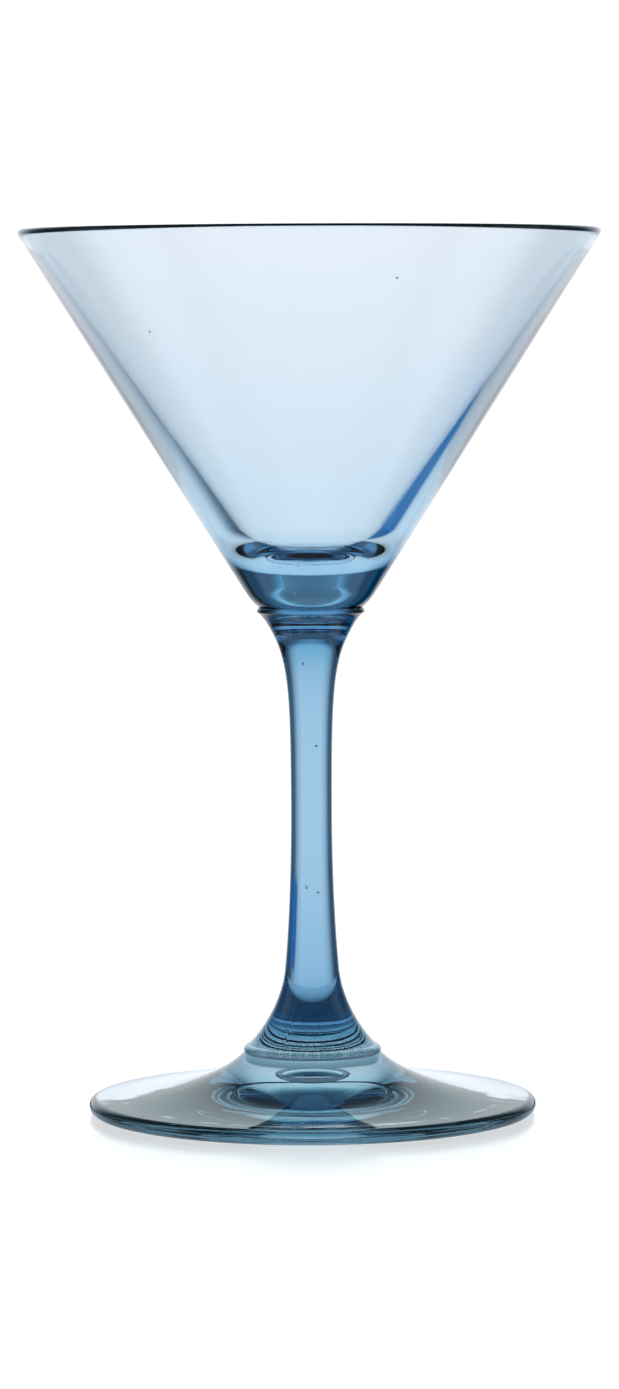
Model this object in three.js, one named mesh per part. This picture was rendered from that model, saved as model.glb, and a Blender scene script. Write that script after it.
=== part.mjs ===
// A martini glass in blue-tinted glass: a conical bowl with a thick bottom, fused to the
// head of a drawn stem, which stands through a pressed collar on a domed foot.
// Millimetres, +Z up. The origin is the centre of the foot on the surface it rests on.

import * as THREE from "three";

// Heights of the five pieces, from the table up. Their sum is the height of the glass.
const footHeight = 12.0;
const collarHeight = 1.7;
const stemLength = 83.1;
const headHeight = 4.8;
const bowlHeight = 75.4;

// Foot: a disc with a rounded edge that rises in a curve to the collar.
const footDiameter = 89.8;
const footEdge = 3.0; // thickness of the rounded edge
const restingRing = 4.5; // width of the flat ring that touches the table
const footHollow = 1.2; // rise of the hollow underside near the centre
const dimpleRadius = 5.6; // the dimple in the middle of the underside
const dimpleDepth = 2.2;

// Collar: the ring pressed where the stem meets the foot.
const collarRadius = 13.85;
const collarShoulder = 1.1; // step in from the collar's widest line to the stem
const collarUndercut = 0.1; // step in from the collar's widest line to the foot

// Stem: narrowest at the waist, with a long taper above it and a flare at the ankle.
const waistRadius = 4.15;
const neckRadius = 7.95; // where the stem meets its head
const upperTaper = 36.8; // from the neck down to the waist
const ankleRadius = 5.5;
const ankleHeight = 14.7; // above the bottom of the stem

// Head: the thick disc that the bowl is fused to.
const headRadius = 10.85;
const seatGroove = 0.45; // step in on each side of the fused line

// Bowl: a straight cone outside. Inside, the wall thickens down to a nearly flat floor.
const rimDiameter = 116.0;
const lipRadius = 0.8; // radius of the rounded lip
const rimWall = 1.9; // horizontal wall just below the lip
const leanWall = 3.0; // wall that the inside curve leans towards, part of the way down
const leanHeight = 46.4; // height of that point above the bottom of the bowl
const wellWall = 6.3; // horizontal wall where the inside turns into the floor
const wellHeight = 17.6; // above the bottom of the bowl
const floorThickness = 10.5; // solid glass under the floor of the bowl
const heelRadius = 13.1; // outside, where the cone turns under
const heelHeight = 3.1;

// Facets around each piece, and steps along each curve of its outline.
const wideFacets = 64;
const slimFacets = 48;
const curveSteps = 5;

// Levels of the joints between the pieces.
const collarLevel = footHeight;
const stemLevel = collarLevel + collarHeight;
const headLevel = stemLevel + stemLength;
const bowlLevel = headLevel + headHeight;
const rimLevel = bowlLevel + bowlHeight;

const footNeckRadius = collarRadius - collarUndercut;
const stemFootRadius = collarRadius - collarShoulder;
const seatRadius = headRadius - seatGroove;

// The outlines run counter-clockwise around the right half of the section: out along the
// bottom from the axis, up the outside and back to the axis along the top.
function outlineFrom(level) {
  return new THREE.Path().moveTo(0, level);
}

function footOutline() {
  const edge = footEdge / 2;
  const edgeCentre = footDiameter / 2 - edge;
  const hollowRadius = edgeCentre - restingRing;
  const run = edgeCentre - footNeckRadius;
  const drop = footHeight - footEdge;
  return outlineFrom(footHollow + dimpleDepth)
    .bezierCurveTo(
      dimpleRadius * 0.55, footHollow + dimpleDepth,
      dimpleRadius * 0.95, footHollow + dimpleDepth * 0.5,
      dimpleRadius, footHollow,
    )
    .bezierCurveTo(hollowRadius / 2, footHollow, hollowRadius * 0.8, footHollow / 3, hollowRadius, 0)
    .lineTo(edgeCentre, 0)
    .absarc(edgeCentre, edge, edge, -Math.PI / 2, Math.PI / 2)
    .bezierCurveTo(
      edgeCentre - run * 0.44, footEdge + drop * 0.07,
      footNeckRadius + run * 0.19, footEdge + drop * 0.36,
      footNeckRadius, footHeight,
    )
    .lineTo(0, footHeight);
}

function collarOutline() {
  return outlineFrom(collarLevel)
    .lineTo(footNeckRadius, collarLevel)
    .lineTo(collarRadius, collarLevel + collarHeight * 0.3)
    .quadraticCurveTo(collarRadius, stemLevel - collarHeight * 0.25, stemFootRadius, stemLevel)
    .lineTo(0, stemLevel);
}

function stemOutline() {
  const ankleLevel = stemLevel + ankleHeight;
  const waistLevel = headLevel - upperTaper;
  const lowerTaper = waistLevel - ankleLevel;
  const flare = stemFootRadius - ankleRadius;
  const swell = ankleRadius - waistRadius;
  const spread = neckRadius - waistRadius;
  return outlineFrom(stemLevel)
    .lineTo(stemFootRadius, stemLevel)
    .bezierCurveTo(
      stemFootRadius - flare * 0.39, stemLevel + ankleHeight * 0.18,
      ankleRadius + flare * 0.1, ankleLevel - ankleHeight * 0.41,
      ankleRadius, ankleLevel,
    )
    .bezierCurveTo(
      ankleRadius - swell * 0.55, ankleLevel + lowerTaper * 0.24,
      waistRadius, waistLevel - lowerTaper * 0.38,
      waistRadius, waistLevel,
    )
    .bezierCurveTo(
      waistRadius, waistLevel + upperTaper * 0.65,
      waistRadius + spread * 0.09, headLevel - upperTaper * 0.17,
      neckRadius, headLevel,
    )
    .lineTo(0, headLevel);
}

function headOutline() {
  const bead = headHeight * 0.1;
  return outlineFrom(headLevel)
    .lineTo(neckRadius, headLevel)
    .quadraticCurveTo(
      (neckRadius + headRadius) / 2, bowlLevel - headHeight * 0.4,
      headRadius, bowlLevel - 2 * bead,
    )
    .lineTo(headRadius, bowlLevel - bead)
    .lineTo(seatRadius, bowlLevel)
    .lineTo(0, bowlLevel);
}

function bowlOutline() {
  const rimRadius = rimDiameter / 2;
  const lipCentre = new THREE.Vector2(rimRadius - lipRadius, rimLevel - lipRadius);
  const heel = new THREE.Vector2(heelRadius, bowlLevel + heelHeight);
  const coneSlope = (lipCentre.x - heel.x) / (lipCentre.y - heel.y);
  const coneAngle = Math.atan(coneSlope);
  const lipEdge = new THREE.Vector2(
    lipCentre.x + lipRadius * Math.cos(coneAngle),
    lipCentre.y - lipRadius * Math.sin(coneAngle),
  );
  const outerSlope = (lipEdge.x - heel.x) / (lipEdge.y - heel.y);
  const insideAt = (level, wall) => heel.x + (level - heel.y) * outerSlope - wall;

  const shoulderLevel = lipCentre.y - 3 * lipRadius;
  const leanLevel = bowlLevel + leanHeight;
  const leanRadius = insideAt(leanLevel, leanWall);
  const wellLevel = bowlLevel + wellHeight;
  const wellRadius = insideAt(wellLevel, wellWall);
  const wellSlope = (leanRadius - wellRadius) / (leanLevel - wellLevel);
  const floorLevel = bowlLevel + floorThickness;
  const wellDepth = wellLevel - floorLevel;
  return outlineFrom(bowlLevel)
    .lineTo(seatRadius, bowlLevel)
    .quadraticCurveTo(
      heel.x - heelHeight * 0.65 * coneSlope, heel.y - heelHeight * 0.65,
      heel.x, heel.y,
    )
    .lineTo(lipEdge.x, lipEdge.y)
    .absarc(lipCentre.x, lipCentre.y, lipRadius, 0, Math.PI - coneAngle)
    .lineTo(insideAt(shoulderLevel, rimWall), shoulderLevel)
    .quadraticCurveTo(leanRadius, leanLevel, wellRadius, wellLevel)
    .bezierCurveTo(
      wellRadius - wellDepth * 0.85 * wellSlope, floorLevel + wellDepth * 0.15,
      wellRadius / 2, floorLevel,
      0, floorLevel,
    );
}

const blueGlass = new THREE.MeshStandardMaterial({
  color: 0xa9cfe4,
  roughness: 0.05,
  metalness: 0,
  transparent: true,
  opacity: 0.45,
});

function turned(name, outline, facets) {
  const geometry = new THREE.LatheGeometry(outline.getPoints(curveSteps), facets);
  const piece = new THREE.Mesh(geometry, blueGlass);
  piece.name = name;
  return piece;
}

// Lathe pieces are turned about Y, so the group stands them up about Z.
const martiniGlass = new THREE.Group();
martiniGlass.rotation.x = Math.PI / 2;
martiniGlass.add(
  turned("foot", footOutline(), wideFacets),
  turned("foot_collar", collarOutline(), slimFacets),
  turned("stem", stemOutline(), slimFacets),
  turned("stem_head", headOutline(), slimFacets),
  turned("bowl", bowlOutline(), wideFacets),
);

export default martiniGlass;
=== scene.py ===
# %% [markdown]
# # A martini glass in blue-tinted glass
# A real one is a single body of fused glass. This model divides it into five turned
# pieces, at the lines that show on it: a foot, a collar, a slim stem, a thick stem head
# and a conical bowl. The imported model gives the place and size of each. This lesson
# makes the fine surfaces that stand for those solids, the glass that they are made of,
# and a studio to see them in.

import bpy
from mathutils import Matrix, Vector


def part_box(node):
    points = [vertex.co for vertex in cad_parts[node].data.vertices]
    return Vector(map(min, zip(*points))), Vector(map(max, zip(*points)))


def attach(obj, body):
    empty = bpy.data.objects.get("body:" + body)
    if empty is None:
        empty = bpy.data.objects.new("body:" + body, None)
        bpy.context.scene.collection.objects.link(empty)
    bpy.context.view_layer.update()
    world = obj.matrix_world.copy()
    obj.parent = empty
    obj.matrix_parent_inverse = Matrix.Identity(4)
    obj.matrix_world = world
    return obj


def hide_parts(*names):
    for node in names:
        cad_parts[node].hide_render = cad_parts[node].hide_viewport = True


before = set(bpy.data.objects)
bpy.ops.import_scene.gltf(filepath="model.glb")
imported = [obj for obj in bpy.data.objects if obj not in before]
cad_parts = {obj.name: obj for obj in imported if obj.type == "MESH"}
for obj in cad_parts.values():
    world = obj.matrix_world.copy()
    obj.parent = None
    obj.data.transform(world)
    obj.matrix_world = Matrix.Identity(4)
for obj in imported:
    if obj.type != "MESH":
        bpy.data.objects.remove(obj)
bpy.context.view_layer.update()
print("nodes:", ", ".join(sorted(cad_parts)))

# %% [markdown]
# ## Sizes
# Everything is in metres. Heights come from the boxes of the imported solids, and so do
# the widths that a box can tell. What lies inside a box, such as the slim waist of the
# stem or the round well in the bowl, is a named size next to the piece that needs it.

# %% Heights and widths from the frame
import math

import bpy
from mathutils import Vector

MM = 0.001
FOOT, COLLAR, STEM, HEAD, BOWL = "foot", "foot_collar", "stem", "stem_head", "bowl"


def level(node):
    """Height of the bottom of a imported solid."""
    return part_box(node)[0][2]


def widest(node):
    """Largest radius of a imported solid."""
    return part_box(node)[1][0]


collar_level, stem_level, head_level, bowl_level = map(level, (COLLAR, STEM, HEAD, BOWL))
rim_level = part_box(BOWL)[1][2]
rim_radius = widest(BOWL)
print(f"rim {2 * rim_radius / MM:.1f} mm across, {rim_level / MM:.1f} mm above the table")

# %% [markdown]
# ## The camera
# The camera stands a long way off, a little lower than the rim, and looks slightly down,
# so the rim is nearly a straight line and the foot an open ellipse.

# %% A long lens, a little lower than the rim
camera_distance = 1.018
camera_height = 0.1595
camera_pitch = math.radians(4.24)
camera_roll = math.radians(0.23)
sensor_width = 36.0  # millimetres, as Blender takes it
lens_in_widths = 8.235  # focal length over the width of the sensor

camera_data = bpy.data.cameras.new("camera")
camera_data.sensor_fit = "HORIZONTAL"
camera_data.sensor_width = sensor_width
camera_data.lens = sensor_width * lens_in_widths
camera_data.clip_start = 0.01
camera_data.clip_end = 50.0
camera = bpy.data.objects.new("camera", camera_data)
camera.location = (0, -camera_distance, camera_height)
camera.rotation_euler = (math.pi / 2 - camera_pitch, camera_roll, 0)
bpy.context.scene.collection.objects.link(camera)
bpy.context.scene.camera = camera
print(f"lens {camera_data.lens:.0f} mm at {camera_distance:.2f} m")

# %% [markdown]
# ## Outlines
# A turned piece is told by half of its section. An outline starts on the axis, runs out
# along the bottom, up the outside and back to the axis along the top, so the turned
# surface is closed and faces outwards. Bezier curves and arcs keep it smooth: in glass,
# a kink too small to see in the silhouette still shows as a line in what is behind it.

# %% An outline drawn with lines, arcs and curves
class Outline:
    """Points (radius, height) of half a section, in metres."""

    def __init__(self, radius, height):
        self.points = [(radius, height)]

    def line_to(self, radius, height, steps=1):
        r0, z0 = self.points[-1]
        for i in range(1, steps + 1):
            t = i / steps
            self.points.append((r0 + (radius - r0) * t, z0 + (height - z0) * t))
        return self

    def curve_to(self, *corners, steps):
        """A Bezier curve of any degree, by de Casteljau's rule."""
        held = [Vector(p) for p in (self.points[-1], *corners)]
        for i in range(1, steps + 1):
            row = held
            while len(row) > 1:
                row = [a.lerp(b, i / steps) for a, b in zip(row, row[1:])]
            self.points.append(tuple(row[0]))
        return self

    def arc_to(self, centre, radius, start, end, steps):
        """An arc about a centre, from one angle to another, without its first point."""
        for i in range(1, steps + 1):
            a = start + (end - start) * i / steps
            self.points.append((centre[0] + radius * math.cos(a), centre[1] + radius * math.sin(a)))
        return self


# %% [markdown]
# ## Node trees as expressions
# Both the turning tree and the glass need arithmetic on values that vary from point to
# point. A small class wraps one socket and overloads the operators, so `1 - mask` adds
# the Math node it needs. Every other node comes from one method that takes the node's
# type, its settings and its inputs.

# %% A socket that can be reckoned with
class Value:
    """A number that varies, as the output of a node in a tree."""

    def __init__(self, nodes, socket):
        self.nodes, self.socket = nodes, socket

    def math(self, operation, *others, swap=False):
        terms = (*others, self) if swap else (self, *others)
        return self.nodes.add("ShaderNodeMath", {"operation": operation}, dict(enumerate(terms)))[0]

    def __add__(self, other):
        return self.math("ADD", other)

    def __sub__(self, other):
        return self.math("SUBTRACT", other)

    def __rsub__(self, other):
        return self.math("SUBTRACT", other, swap=True)

    def __mul__(self, other):
        return self.math("MULTIPLY", other)

    def __truediv__(self, other):
        return self.math("DIVIDE", other)

    def __rtruediv__(self, other):
        return self.math("DIVIDE", other, swap=True)

    __radd__ = __add__
    __rmul__ = __mul__


# %% One way to add a node
class Outputs:
    """A node's outputs, by name or by number, as Values."""

    def __init__(self, nodes, node):
        self.nodes, self.node = nodes, node

    def __getitem__(self, name):
        return Value(self.nodes, self.node.outputs[name])


class Nodes:
    """A node tree, shader or geometry, that grows by one method."""

    def __init__(self, tree):
        self.tree = tree

    def add(self, kind, settings=None, inputs=None):
        """Adds a node and returns its outputs as Values."""
        node = self.tree.nodes.new(kind)
        for name, setting in (settings or {}).items():
            setattr(node, name, setting)
        for name, value in (inputs or {}).items():
            if isinstance(value, Value):
                self.tree.links.new(value.socket, node.inputs[name])
            else:
                node.inputs[name].default_value = value
        return Outputs(self, node)


# %% Named inputs and the output of a Geometry Nodes tree
def new_tree(name, output, inputs):
    """An empty tree with named inputs, and the identifier of each input's socket."""
    tree = bpy.data.node_groups.new(name, "GeometryNodeTree")
    identifiers = {}
    for label, (kind, value) in inputs.items():
        made = tree.interface.new_socket(name=label, in_out="INPUT", socket_type="NodeSocket" + kind)
        if value is not None:
            made.default_value = value
        identifiers[label] = made.identifier
    tree.interface.new_socket(name=output, in_out="OUTPUT", socket_type="NodeSocketGeometry")
    return tree, identifiers


# %% [markdown]
# ## Turning an outline with Geometry Nodes
# A turned piece follows a rule, so Geometry Nodes make it: a grid has one row for each
# point of the outline and one column for each facet, and each of its points moves to its
# outline point, swung round the axis. The same tree raises the two thin seams that the
# halves of a mould leave on pressed glass, marks the fused faces, and keeps the edges of
# flat faces sharp.

# %% The turning tree
SAME_PLACE = 0.001 * MM  # points and heights closer than this are one
CREASE_ANGLE = 0.5  # in radians; a sharper edge between faces is kept sharp
SEAM_FROM = 3 * MM  # a seam runs only on faces farther from the axis than this
SLIVER = 0.5 / 4096  # keeps a whole number from rounding down to the one before it
NO_JOINT = -1.0  # a height where no piece has a face

turning, turning_inputs = new_tree("turned_glass", "Piece", {
    "Outline": ("Geometry", None),
    "Facets": ("Int", 256),
    "Seam height": ("Float", 0.0),
    "Seam width": ("Float", 0.2 * MM),
    "Seam angle": ("Float", 0.0),
    "Joint below": ("Float", NO_JOINT),
    "Joint above": ("Float", NO_JOINT),
    "Glass": ("Material", None),
})


def swung_points(n, given):
    """The place of each grid point: its outline point, swung round the axis."""
    outline, facets = given["Outline"], given["Facets"]
    rows = n.add(
        "GeometryNodeAttributeDomainSize", {"component": "MESH"}, {"Geometry": outline}
    )["Point Count"]
    index = n.add("GeometryNodeInputIndex")["Index"]
    column = (index / rows + SLIVER).math("FLOOR")
    drawn = n.add(
        "GeometryNodeSampleIndex", {"data_type": "FLOAT_VECTOR"},
        {
            "Geometry": outline, "Index": index - column * rows,
            "Value": n.add("GeometryNodeInputPosition")["Position"],
        },
    )["Value"]
    parts = n.add("ShaderNodeSeparateXYZ", None, {"Vector": drawn})
    radius, angle = parts["X"], column / facets * math.tau
    across = radius * (angle - given["Seam angle"]).math("SINE") / given["Seam width"]
    seam = (across * across * -1).math("EXPONENT") * given["Seam height"]
    radius = radius + seam * radius.math("GREATER_THAN", SEAM_FROM)
    place = n.add(
        "ShaderNodeCombineXYZ", None,
        {"X": radius * angle.math("COSINE"), "Y": radius * angle.math("SINE"), "Z": parts["Z"]},
    )["Vector"]
    grid = n.add("GeometryNodeMeshGrid", None, {"Vertices X": facets + 1, "Vertices Y": rows})["Mesh"]
    return grid, place


# %% Close, smooth and mark the turned surface
def grow_turning_tree():
    n = Nodes(turning)
    given = n.add("NodeGroupInput")
    grid, place = swung_points(n, given)
    piece = n.add("GeometryNodeSetPosition", None, {"Geometry": grid, "Position": place})["Geometry"]
    piece = n.add(
        "GeometryNodeMergeByDistance", None, {"Geometry": piece, "Distance": SAME_PLACE}
    )["Geometry"]
    piece = n.add("GeometryNodeSetShadeSmooth", {"domain": "FACE"}, {"Geometry": piece})["Geometry"]
    crease = n.add("GeometryNodeInputMeshEdgeAngle")["Unsigned Angle"].math("GREATER_THAN", CREASE_ANGLE)
    piece = n.add(
        "GeometryNodeSetShadeSmooth", {"domain": "EDGE"},
        {"Geometry": piece, "Selection": crease, "Shade Smooth": False},
    )["Geometry"]
    here = n.add("GeometryNodeInputPosition")["Position"]
    height = n.add("ShaderNodeSeparateXYZ", None, {"Vector": here})["Z"]
    fused = (height.math("COMPARE", given["Joint below"], SAME_PLACE)
             + height.math("COMPARE", given["Joint above"], SAME_PLACE))
    piece = n.add(
        "GeometryNodeStoreNamedAttribute", {"data_type": "FLOAT", "domain": "FACE"},
        {"Geometry": piece, "Name": "fused", "Value": fused},
    )["Geometry"]
    piece = n.add("GeometryNodeRealizeInstances", None, {"Geometry": piece})["Geometry"]
    piece = n.add(
        "GeometryNodeSetMaterial", None, {"Geometry": piece, "Material": given["Glass"]}
    )["Geometry"]
    n.add("NodeGroupOutput", None, {"Piece": piece})


grow_turning_tree()
print("turning tree:", len(turning.nodes), "nodes")


# %% Run a tree and keep what it makes
def finished(name, base_mesh, tree, identifiers, inputs):
    """Runs a tree on a mesh and keeps the result as a plain mesh object."""
    source = bpy.data.objects.new(name + "_source", base_mesh)
    bpy.context.scene.collection.objects.link(source)
    modifier = source.modifiers.new("made", "NODES")
    modifier.node_group = tree
    for label, value in inputs.items():
        modifier[identifiers[label]] = value
    evaluated = source.evaluated_get(bpy.context.evaluated_depsgraph_get())
    mesh = bpy.data.meshes.new_from_object(evaluated)
    mesh.name = name
    bpy.data.objects.remove(source)
    piece = bpy.data.objects.new(name, mesh)
    bpy.context.scene.collection.objects.link(piece)
    triangles = sum(len(p.vertices) - 2 for p in mesh.polygons)
    print(f"{name}: {triangles} triangles")
    return piece


# %% Turn an outline into a finished piece
SEAM_WIDTH = 0.22 * MM
SEAM_ANGLE = math.radians(-118)  # front left; the other seam is opposite


def turned(name, outline, slot, facets, seam_height=0.0, fused_below=False, fused_above=False):
    """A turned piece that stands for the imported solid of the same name."""
    points = [(r, 0, z) for r, z in outline.points]
    line = bpy.data.meshes.new(name + "_outline")
    line.from_pydata(points, [(i, i + 1) for i in range(len(points) - 1)], [])
    lowest, highest = outline.points[0][1], outline.points[-1][1]
    piece = finished(name + "_glass", line, turning, turning_inputs, {
        "Facets": facets,
        "Seam height": seam_height,
        "Seam width": SEAM_WIDTH,
        "Seam angle": SEAM_ANGLE,
        "Joint below": lowest if fused_below else NO_JOINT,
        "Joint above": highest if fused_above else NO_JOINT,
        "Glass": glass[slot],
    })
    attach(piece, "root")
    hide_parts(name)


# %% [markdown]
# ## The glass
# Clear glass has no colour of its own at the surface. Its tint is in its depth: light
# loses red first, so thick glass looks bluer and darker than a thin wall. That is why
# the colour is an absorption in the volume, and the surface is a clear Principled
# shader, with a little smudge in its roughness and a faint ripple. Where two pieces are
# fused there is no surface at all, so a mask lets light straight through there.

# %% A clear surface over a tinted depth
GLASS_IOR = 1.52
SMUDGE_SCALE = 60.0  # patches per metre, roughly
SMUDGE_FROM = 0.52  # noise above this shows as a smudge
SMUDGE = 0.03
RIPPLE_SIZE = 8 * MM
RIPPLE_DEPTH = 1 * MM
HEADROOM = 1.05  # keeps every colour of the volume above black


def glass_material(name, loss, ripple):
    """Glass that loses (red, green, blue) per metre of depth."""
    material = bpy.data.materials.new(name)
    material.use_nodes = True
    material.node_tree.nodes.clear()
    n = Nodes(material.node_tree)
    place = n.add("ShaderNodeTexCoord")["Object"]
    soft = n.add("ShaderNodeTexNoise", None, {"Vector": place, "Scale": SMUDGE_SCALE, "Detail": 4.0})["Fac"]
    waves = n.add(
        "ShaderNodeTexNoise", None, {"Vector": place, "Scale": 1 / RIPPLE_SIZE, "Detail": 1.0}
    )["Fac"]
    clear = n.add(
        "ShaderNodeBsdfPrincipled", None,
        {
            "Base Color": (1, 1, 1, 1), "Transmission Weight": 1.0, "IOR": GLASS_IOR,
            "Roughness": (soft - SMUDGE_FROM).math("MAXIMUM", 0.0) * SMUDGE,
            "Normal": n.add(
                "ShaderNodeBump", None, {"Height": waves, "Strength": ripple, "Distance": RIPPLE_DEPTH}
            )["Normal"],
        },
    )["BSDF"]
    through = n.add("ShaderNodeBsdfTransparent")["BSDF"]
    fused = n.add("ShaderNodeAttribute", {"attribute_name": "fused"})["Fac"]
    surface = n.add("ShaderNodeMixShader", None, {0: fused, 1: clear, 2: through})["Shader"]
    density = max(loss) * HEADROOM
    kept = [1 - part / density for part in loss]
    depth = n.add("ShaderNodeVolumeAbsorption", None, {"Color": (*kept, 1), "Density": density})["Volume"]
    n.add("ShaderNodeOutputMaterial", None, {"Surface": surface, "Volume": depth})
    print(f"{name}: loses {loss} per metre")
    return material


# %% [markdown]
# ## Three tints
# One pot of glass has one tint, and these three differ: each was set from how deep the
# colour of that piece looks in this studio, so none of them is a measured property of
# the glass. The bowl also has a fainter ripple than the pressed pieces.

# %% Bowl, stem and foot glass
# The imported model has plain materials with the same names, so these are kept here by
# slot, and never looked up by name.
glass = {
    "bowl_glass": glass_material("bowl_glass", loss=(35, 17, 8), ripple=0.004),
    "stem_glass": glass_material("stem_glass", loss=(125, 67, 37), ripple=0.05),
    "foot_glass": glass_material("foot_glass", loss=(24, 14, 11), ripple=0.05),
}

# %% [markdown]
# ## The foot
# The foot is a pressed disc with a rounded edge, which rises in one long curve to the
# collar. It rests on a flat ring, and inside the ring its underside is slightly hollow,
# with a small dimple in the middle. The hollow and the dimple are guesses, made from
# what shows through the top of the foot.

# %% The foot
foot_radius = widest(FOOT)
foot_edge = 3.0 * MM  # thickness of the rounded edge
resting_ring = 4.5 * MM
foot_hollow = 1.2 * MM
dimple_radius = 5.6 * MM
dimple_depth = 2.2 * MM
collar_radius = widest(COLLAR)
foot_neck_radius = collar_radius - 0.1 * MM


def foot_outline():
    edge = foot_edge / 2
    rim = foot_radius - edge
    hollow = rim - resting_ring
    run = rim - foot_neck_radius
    drop = collar_level - foot_edge
    line = Outline(0, foot_hollow + dimple_depth)
    line.curve_to(
        (dimple_radius * 0.55, foot_hollow + dimple_depth),
        (dimple_radius * 0.95, foot_hollow + dimple_depth * 0.5),
        (dimple_radius, foot_hollow),
        steps=30,
    )
    line.curve_to((hollow / 2, foot_hollow), (hollow * 0.8, foot_hollow / 3), (hollow, 0), steps=40)
    line.line_to(rim, 0, steps=4)
    line.arc_to((rim, edge), edge, -math.pi / 2, math.pi / 2, steps=28)
    line.curve_to(
        (rim - run * 0.44, foot_edge + drop * 0.07),
        (foot_neck_radius + run * 0.19, foot_edge + drop * 0.36),
        (foot_neck_radius, collar_level),
        steps=70,
    )
    return line.line_to(0, collar_level, steps=6)


turned(FOOT, foot_outline(), "foot_glass", 320, fused_above=True)

# %% [markdown]
# ## The collar
# Where the stem stands on the foot, the mould leaves a low pressed ring. It stands out a
# hair's breadth from the foot and rounds over at the top.

# %% The collar
stem_foot_radius = widest(STEM)


def collar_outline():
    height = stem_level - collar_level
    line = Outline(0, collar_level).line_to(foot_neck_radius, collar_level, steps=6)
    line.line_to(collar_radius, collar_level + height * 0.3, steps=2)
    line.curve_to(
        (collar_radius, stem_level - height * 0.25), (stem_foot_radius, stem_level), steps=12
    )
    return line.line_to(0, stem_level, steps=6)


turned(COLLAR, collar_outline(), "foot_glass", 256, fused_below=True, fused_above=True)

# %% [markdown]
# ## The stem
# The stem flares quickly from the foot to a slim ankle, narrows slowly to its waist and
# widens again under the head. Three curves that run into each other almost without a
# kink keep it smooth. Its two mould seams are raised by the turning tree.

# %% The stem
waist_radius = 4.15 * MM
neck_radius = 7.95 * MM
upper_taper = 36.8 * MM
ankle_radius = 5.5 * MM
ankle_height = 14.7 * MM
stem_seam_height = 0.06 * MM


def stem_outline():
    ankle_level = stem_level + ankle_height
    waist_level = head_level - upper_taper
    lower_taper = waist_level - ankle_level
    flare = stem_foot_radius - ankle_radius
    swell = ankle_radius - waist_radius
    spread = neck_radius - waist_radius
    line = Outline(0, stem_level).line_to(stem_foot_radius, stem_level, steps=6)
    line.curve_to(
        (stem_foot_radius - flare * 0.39, stem_level + ankle_height * 0.18),
        (ankle_radius + flare * 0.1, ankle_level - ankle_height * 0.41),
        (ankle_radius, ankle_level),
        steps=50,
    )
    line.curve_to(
        (ankle_radius - swell * 0.55, ankle_level + lower_taper * 0.24),
        (waist_radius, waist_level - lower_taper * 0.38),
        (waist_radius, waist_level),
        steps=50,
    )
    line.curve_to(
        (waist_radius, waist_level + upper_taper * 0.65),
        (waist_radius + spread * 0.09, head_level - upper_taper * 0.17),
        (neck_radius, head_level),
        steps=70,
    )
    return line.line_to(0, head_level, steps=4)


turned(STEM, stem_outline(), "stem_glass", 288, stem_seam_height, fused_below=True, fused_above=True)

# %% [markdown]
# ## The stem head
# A thick disc joins the stem to the bowl. It spreads like a funnel and ends in a small
# bead, whose upper edge makes the groove under the bowl.

# %% The stem head
head_radius = widest(HEAD)
seat_radius = head_radius - 0.45 * MM
head_seam_height = 0.03 * MM


def head_outline():
    height = bowl_level - head_level
    bead = height * 0.1
    line = Outline(0, head_level).line_to(neck_radius, head_level, steps=4)
    line.curve_to(
        ((neck_radius + head_radius) / 2, bowl_level - height * 0.4),
        (head_radius, bowl_level - 2 * bead),
        steps=20,
    )
    line.curve_to((head_radius, bowl_level - bead), (seat_radius, bowl_level), steps=8)
    return line.line_to(0, bowl_level, steps=4)


turned(HEAD, head_outline(), "stem_glass", 256, head_seam_height, fused_below=True, fused_above=True)

# %% [markdown]
# ## The bowl
# The bowl is a cone with a fire-polished lip. Its two sides are nearly parallel close to
# the rim, the wall thickens slowly down to a round well, and the bottom is solid. The
# wall and the well are curves that meet smoothly, because light bends at any kink there.
# The thickness of the wall can't be seen directly, and was judged from its shading.

# %% The bowl
lip_radius = 0.8 * MM
rim_wall = 1.9 * MM
lean_wall = 3.0 * MM
lean_height = 46.4 * MM
well_wall = 6.3 * MM
well_height = 17.6 * MM
floor_thickness = 10.5 * MM
heel_radius = 13.1 * MM
heel_height = 3.1 * MM


def bowl_outline():
    lip = (rim_radius - lip_radius, rim_level - lip_radius)
    heel = (heel_radius, bowl_level + heel_height)
    cone = math.atan((lip[0] - heel[0]) / (lip[1] - heel[1]))
    lip_edge = (lip[0] + lip_radius * math.cos(cone), lip[1] - lip_radius * math.sin(cone))
    slope = (lip_edge[0] - heel[0]) / (lip_edge[1] - heel[1])

    def inside(height, wall):
        return heel[0] + (height - heel[1]) * slope - wall

    shoulder_level = lip[1] - 3 * lip_radius
    lean_level = bowl_level + lean_height
    lean_radius = inside(lean_level, lean_wall)
    well_level = bowl_level + well_height
    well_radius = inside(well_level, well_wall)
    well_slope = (lean_radius - well_radius) / (lean_level - well_level)
    floor_level = bowl_level + floor_thickness
    depth = well_level - floor_level
    line = Outline(0, bowl_level).line_to(seat_radius, bowl_level, steps=4)
    line.curve_to((heel[0] - heel_height * 0.65 * slope, heel[1] - heel_height * 0.65), heel, steps=14)
    line.line_to(*lip_edge, steps=40)
    line.arc_to(lip, lip_radius, -cone, math.pi - cone, steps=28)
    line.line_to(inside(shoulder_level, rim_wall), shoulder_level, steps=4)
    line.curve_to((lean_radius, lean_level), (well_radius, well_level), steps=60)
    line.curve_to(
        (well_radius - depth * 0.85 * well_slope, floor_level + depth * 0.15),
        (well_radius / 2, floor_level),
        (0, floor_level),
        steps=60,
    )
    return line


turned(BOWL, bowl_outline(), "bowl_glass", 384, fused_below=True)

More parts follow.
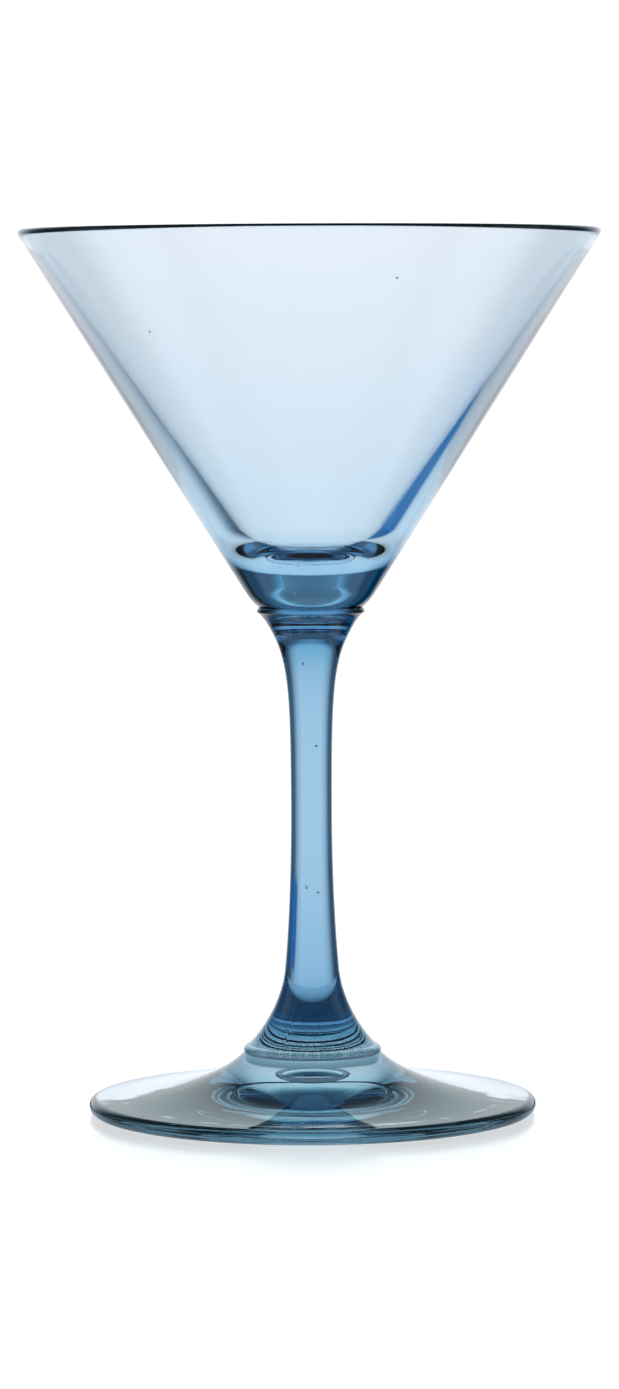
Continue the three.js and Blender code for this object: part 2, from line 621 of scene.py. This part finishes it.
# %% [markdown]
# ## Seeds
# Glass holds a few tiny bubbles, which makers call seeds. A seed is a small ball of
# air, drawn out a little along the stem, so light bends the other way in it. Geometry
# Nodes put a ball at each place, and draw each out by its own random amount.

# %% Air in the glass
def air_material():
    material = bpy.data.materials.new("seed_air")
    material.use_nodes = True
    air = material.node_tree.nodes["Principled BSDF"].inputs
    air["Transmission Weight"].default_value = 1.0
    air["IOR"].default_value = 1 / GLASS_IOR
    air["Roughness"].default_value = 0.0
    return material


seed_air = air_material()
print(f"seed air: IOR {1 / GLASS_IOR:.2f} against the glass")

# %% The seeding tree
DRAW_SEED = 4
seeding, seeding_inputs = new_tree("seeds", "Seeds", {
    "Places": ("Geometry", None),
    "Radius": ("Float", 0.2 * MM),
    "Draw": ("Float", 1.5),
    "Air": ("Material", None),
})


def grow_seeding_tree():
    n = Nodes(seeding)
    given = n.add("NodeGroupInput")
    ball = n.add(
        "GeometryNodeMeshUVSphere", None, {"Segments": 20, "Rings": 14, "Radius": given["Radius"]}
    )["Mesh"]
    ball = n.add("GeometryNodeSetShadeSmooth", {"domain": "FACE"}, {"Geometry": ball})["Geometry"]
    # Sockets 2 and 3 are the smallest and largest draw, and output 1 is the number.
    drawn = n.add(
        "FunctionNodeRandomValue", {"data_type": "FLOAT"}, {2: 1.0, 3: given["Draw"], "Seed": DRAW_SEED}
    )[1]
    scale = n.add("ShaderNodeCombineXYZ", None, {"X": 1.0, "Y": 1.0, "Z": drawn})["Vector"]
    seeds = n.add(
        "GeometryNodeInstanceOnPoints", None,
        {"Points": given["Places"], "Instance": ball, "Scale": scale},
    )["Instances"]
    seeds = n.add("GeometryNodeRealizeInstances", None, {"Geometry": seeds})["Geometry"]
    seeds = n.add(
        "GeometryNodeSetMaterial", None, {"Geometry": seeds, "Material": given["Air"]}
    )["Geometry"]
    n.add("NodeGroupOutput", None, {"Seeds": seeds})


grow_seeding_tree()
print("seeding tree:", len(seeding.nodes), "nodes")


# %% Seeds in the stem and in the bowl
def seeded(name, radius, draw, places):
    """Seeds at places given in millimetres."""
    points = bpy.data.meshes.new(name + "_places")
    points.from_pydata([(x * MM, y * MM, z * MM) for x, y, z in places], [], [])
    inputs = {"Radius": radius, "Draw": draw, "Air": seed_air}
    seeds = finished(name, points, seeding, seeding_inputs, inputs)
    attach(seeds, "root")


seeded("stem_seeds", radius=0.2 * MM, draw=1.8, places=[
    (-1.1, -0.6, 90.7),
    (0.8, 0.4, 44.2),
    (-0.8, -1.0, 45.4),
    (0.6, 0.9, 73.8),
    (-1.8, 3.0, 108.0),  # above the stem, in the solid bottom of the bowl
])
seeded("bowl_seeds", radius=0.22 * MM, draw=1.1, places=[
    (16.5, -48.4, 167.0),
    (-30.5, -33.0, 157.0),
])

# %% [markdown]
# ## The light round the glass
# Glass is drawn by what is behind it. The studio is bright behind the glass, dimmer in
# front and square to its left and right, and dark in between and overhead, so the middle
# of each piece is bright and its edges are dark. Dim light is bluer than bright light.
# The same few rules light the world and the table, so they are helpers.

# %% Brightness by direction
BACK, FRONT, BESIDE, SIDE, TOP = 1.04, 0.4, 0.6, 0.15, 0.2

# Degrees from the middle of each light to where it is still full, and to where it ends.
BACK_FULL, BACK_END = 12, 45
FRONT_FULL, FRONT_END = 40, 70
BESIDE_FULL, BESIDE_END = 8, 28


def smooth_step(n, value, low, high):
    """Zero below low, one above high, and smooth between them."""
    return n.add(
        "ShaderNodeMapRange", {"interpolation_type": "SMOOTHSTEP"},
        {"Value": value, "From Min": low, "From Max": high},
    )["Result"]


def cosine(degrees):
    return math.cos(math.radians(degrees))


def around(n, facing, side):
    """Brightness of the studio, where facing is 1 behind the glass and -1 in front of it."""
    back = smooth_step(n, facing, cosine(BACK_END), cosine(BACK_FULL))
    front = smooth_step(n, facing * -1, cosine(FRONT_END), cosine(FRONT_FULL))
    off_square = facing.math("ABSOLUTE")
    beside = 1 - smooth_step(n, off_square, cosine(90 - BESIDE_FULL), cosine(90 - BESIDE_END))
    return side + back * (BACK - side) + front * (FRONT - side) + beside * (BESIDE - side)


# %% Colour by brightness
CHANNELS = ("Red", "Green", "Blue")
DIM = (0.56, 0.9, 1.25)  # share of each colour in the dimmest light
BRIGHTER = (0.4, 0.1, -0.18)  # what each share gains as the light grows to 1
# The blue of a patch painted into the light that the glass sees, where a blue card would lie.
BLUE_PATCH = (0.0, 0.16, 0.45)  # a deep blue card
SKY_LOSS = (0.16, 0.0, 0.0)  # what the light above the horizon loses


def tinted(n, light, blue_patch=0.0, sky=0.0):
    """The colour of a light: near white where it is bright, bluer where it is dim."""
    shares = [
        light * (dim + gain * light) * (1 - blue_patch) * (1 - lost * sky) + blue * blue_patch
        for dim, gain, blue, lost in zip(DIM, BRIGHTER, BLUE_PATCH, SKY_LOSS)
    ]
    return n.add("ShaderNodeCombineColor", None, dict(zip(CHANNELS, shares)))["Color"]


print(f"studio: {BACK} behind, {FRONT} in front, {BESIDE} beside, {SIDE} between, {TOP} overhead")

# %% [markdown]
# ## The table
# The camera sees a pale, slightly glossy table that glows, with a painted shadow close
# round the foot. The glass sees a shaped light in its place, told apart by the Light Path
# node: bright behind, dim to the sides, glowing under the foot so that the glass is lit
# from below, with a painted dark spot under the middle of the foot, and with one deep blue
# patch painted into it behind on the right. The look of the glass here depends on that
# light: under another light the edges and dark lines change. The table isn't part of the glass.

# %% How the table looks to the camera
# The table glows evenly far away, and dimmer close round the foot: a painted shadow.
TABLE_PALE, TABLE_PAINTED_SHADOW = 1.02, 0.58  # brightness far away, and close round the foot
TABLE_BALANCE = (1.04, 1.0, 0.96)  # takes out the blue that the studio adds
TABLE_BASE = (0.93, 0.93, 0.88, 1)
TABLE_GLOW = 0.9


def pale_table_painted_shadow(n, reach):
    away = smooth_step(n, reach, foot_radius * 0.9, foot_radius * 2.3)
    # Painted shadow: the glow is dimmer close round the foot.
    glow_with_painted_shadow = TABLE_PAINTED_SHADOW + (TABLE_PALE - TABLE_PAINTED_SHADOW) * away
    colour_with_painted_shadow = {channel: glow_with_painted_shadow * share for channel, share in zip(CHANNELS, TABLE_BALANCE)}
    return n.add(
        "ShaderNodeBsdfPrincipled", None,
        {
            "Base Color": TABLE_BASE, "Roughness": 0.12 + 0.6 * away, "Specular IOR Level": 0.5,
            "Emission Color": n.add("ShaderNodeCombineColor", None, colour_with_painted_shadow)["Color"],
            "Emission Strength": TABLE_GLOW,
        },
    )["BSDF"]


# %% How the table looks to the glass
TABLE_SIDE = 0.12  # the dim sides of the table, as far as it is near
TABLE_UNDER = 0.85  # under the foot
SHADE_DEPTH = 0.78  # of the spot under the middle of the foot
SHADE_FULL, SHADE_END = 12 * MM, 36 * MM
NEAR_REACH = 0.3


def shaped_table(n, x, y, reach):
    near = 1 - smooth_step(n, reach, NEAR_REACH, NEAR_REACH * 1.5)
    glow = around(n, y / reach, SIDE + (TABLE_SIDE - SIDE) * near)
    under = 1 - smooth_step(n, reach, foot_radius * 0.8, foot_radius * 1.2)
    shade = 1 - smooth_step(n, reach, SHADE_FULL, SHADE_END)
    glow = glow + under * (TABLE_UNDER * (1 - SHADE_DEPTH * shade) - glow)
    aside = x / reach
    # A deep blue patch painted into the glow, behind on the right.
    blue_patch = smooth_step(n, aside, 0.46, 0.54) * (1 - smooth_step(n, aside, 0.8, 0.86))
    blue_patch = blue_patch * smooth_step(n, y, 0.06, 0.1) * (1 - smooth_step(n, reach, 0.26, 0.34))
    return n.add("ShaderNodeEmission", None, {"Color": tinted(n, glow, blue_patch)})["Emission"]


# %% The table itself
TABLE_HALF = 3.0
TABLE_GAP = 0.05 * MM  # keeps the table clear of the resting ring
NEAREST = 1e-4  # keeps a division by the distance from the axis finite


def table_material():
    material = bpy.data.materials.new("white_table")
    material.use_nodes = True
    material.node_tree.nodes.clear()
    n = Nodes(material.node_tree)
    place = n.add("ShaderNodeSeparateXYZ", None, {"Vector": n.add("ShaderNodeTexCoord")["Object"]})
    x, y = place["X"], place["Y"]
    reach = (x * x + y * y).math("SQRT").math("MAXIMUM", NEAREST)
    seen = n.add("ShaderNodeLightPath")["Is Camera Ray"]
    shown = n.add(
        "ShaderNodeMixShader", None, {0: seen, 1: shaped_table(n, x, y, reach), 2: pale_table_painted_shadow(n, reach)}
    )["Shader"]
    n.add("ShaderNodeOutputMaterial", None, {"Surface": shown})
    return material


table_mesh = bpy.data.meshes.new("floor")
corners = [(-1, -1), (1, -1), (1, 1), (-1, 1)]
table_mesh.from_pydata([(x * TABLE_HALF, y * TABLE_HALF, 0) for x, y in corners], [], [(0, 1, 2, 3)])
table_mesh.materials.append(table_material())
table = bpy.data.objects.new("floor", table_mesh)
table.location = (0, 0, -TABLE_GAP)
bpy.context.scene.collection.objects.link(table)
print(f"table: {2 * TABLE_HALF:.0f} m square")

# %% [markdown]
# ## The studio
# The world gives the same light by direction, with a darker ceiling, and with less red
# above the horizon. The camera sees a bright, plain backdrop in its place.

# %% The studio as the world
BACKDROP = 1.1


def studio():
    world = bpy.data.worlds.new("studio")
    bpy.context.scene.world = world
    world.use_nodes = True
    world.node_tree.nodes.clear()
    n = Nodes(world.node_tree)
    toward = n.add("ShaderNodeTexCoord")["Generated"]
    parts = n.add("ShaderNodeSeparateXYZ", None, {"Vector": toward})
    x, y, z = parts["X"], parts["Y"], parts["Z"]
    flat = (x * x + y * y).math("SQRT").math("MAXIMUM", NEAREST)
    light = around(n, y / flat, SIDE)
    ceiling = smooth_step(n, z, 0.42, 0.62)
    light = light + (TOP - light) * ceiling
    seen = n.add("ShaderNodeLightPath")["Is Camera Ray"]
    light = light + (BACKDROP - light) * seen
    sky = smooth_step(n, z, 0.1, 0.3)
    glow = n.add("ShaderNodeBackground", None, {"Color": tinted(n, light, sky=sky)})["Background"]
    n.add("ShaderNodeOutputWorld", None, {"Surface": glow})


studio()
print("world:", bpy.context.scene.world.name)

# %% [markdown]
# ## Light paths
# A ray crosses many surfaces on its way through five pieces of glass, and a path that
# ends too soon turns the thick parts black. Standard keeps white as white.

# %% Enough bounces for stacked glass
BOUNCES = 32
scene = bpy.context.scene
scene.view_settings.view_transform = "Standard"
scene.cycles.max_bounces = BOUNCES
scene.cycles.transmission_bounces = BOUNCES
scene.cycles.transparent_max_bounces = BOUNCES
print("bounces:", BOUNCES)
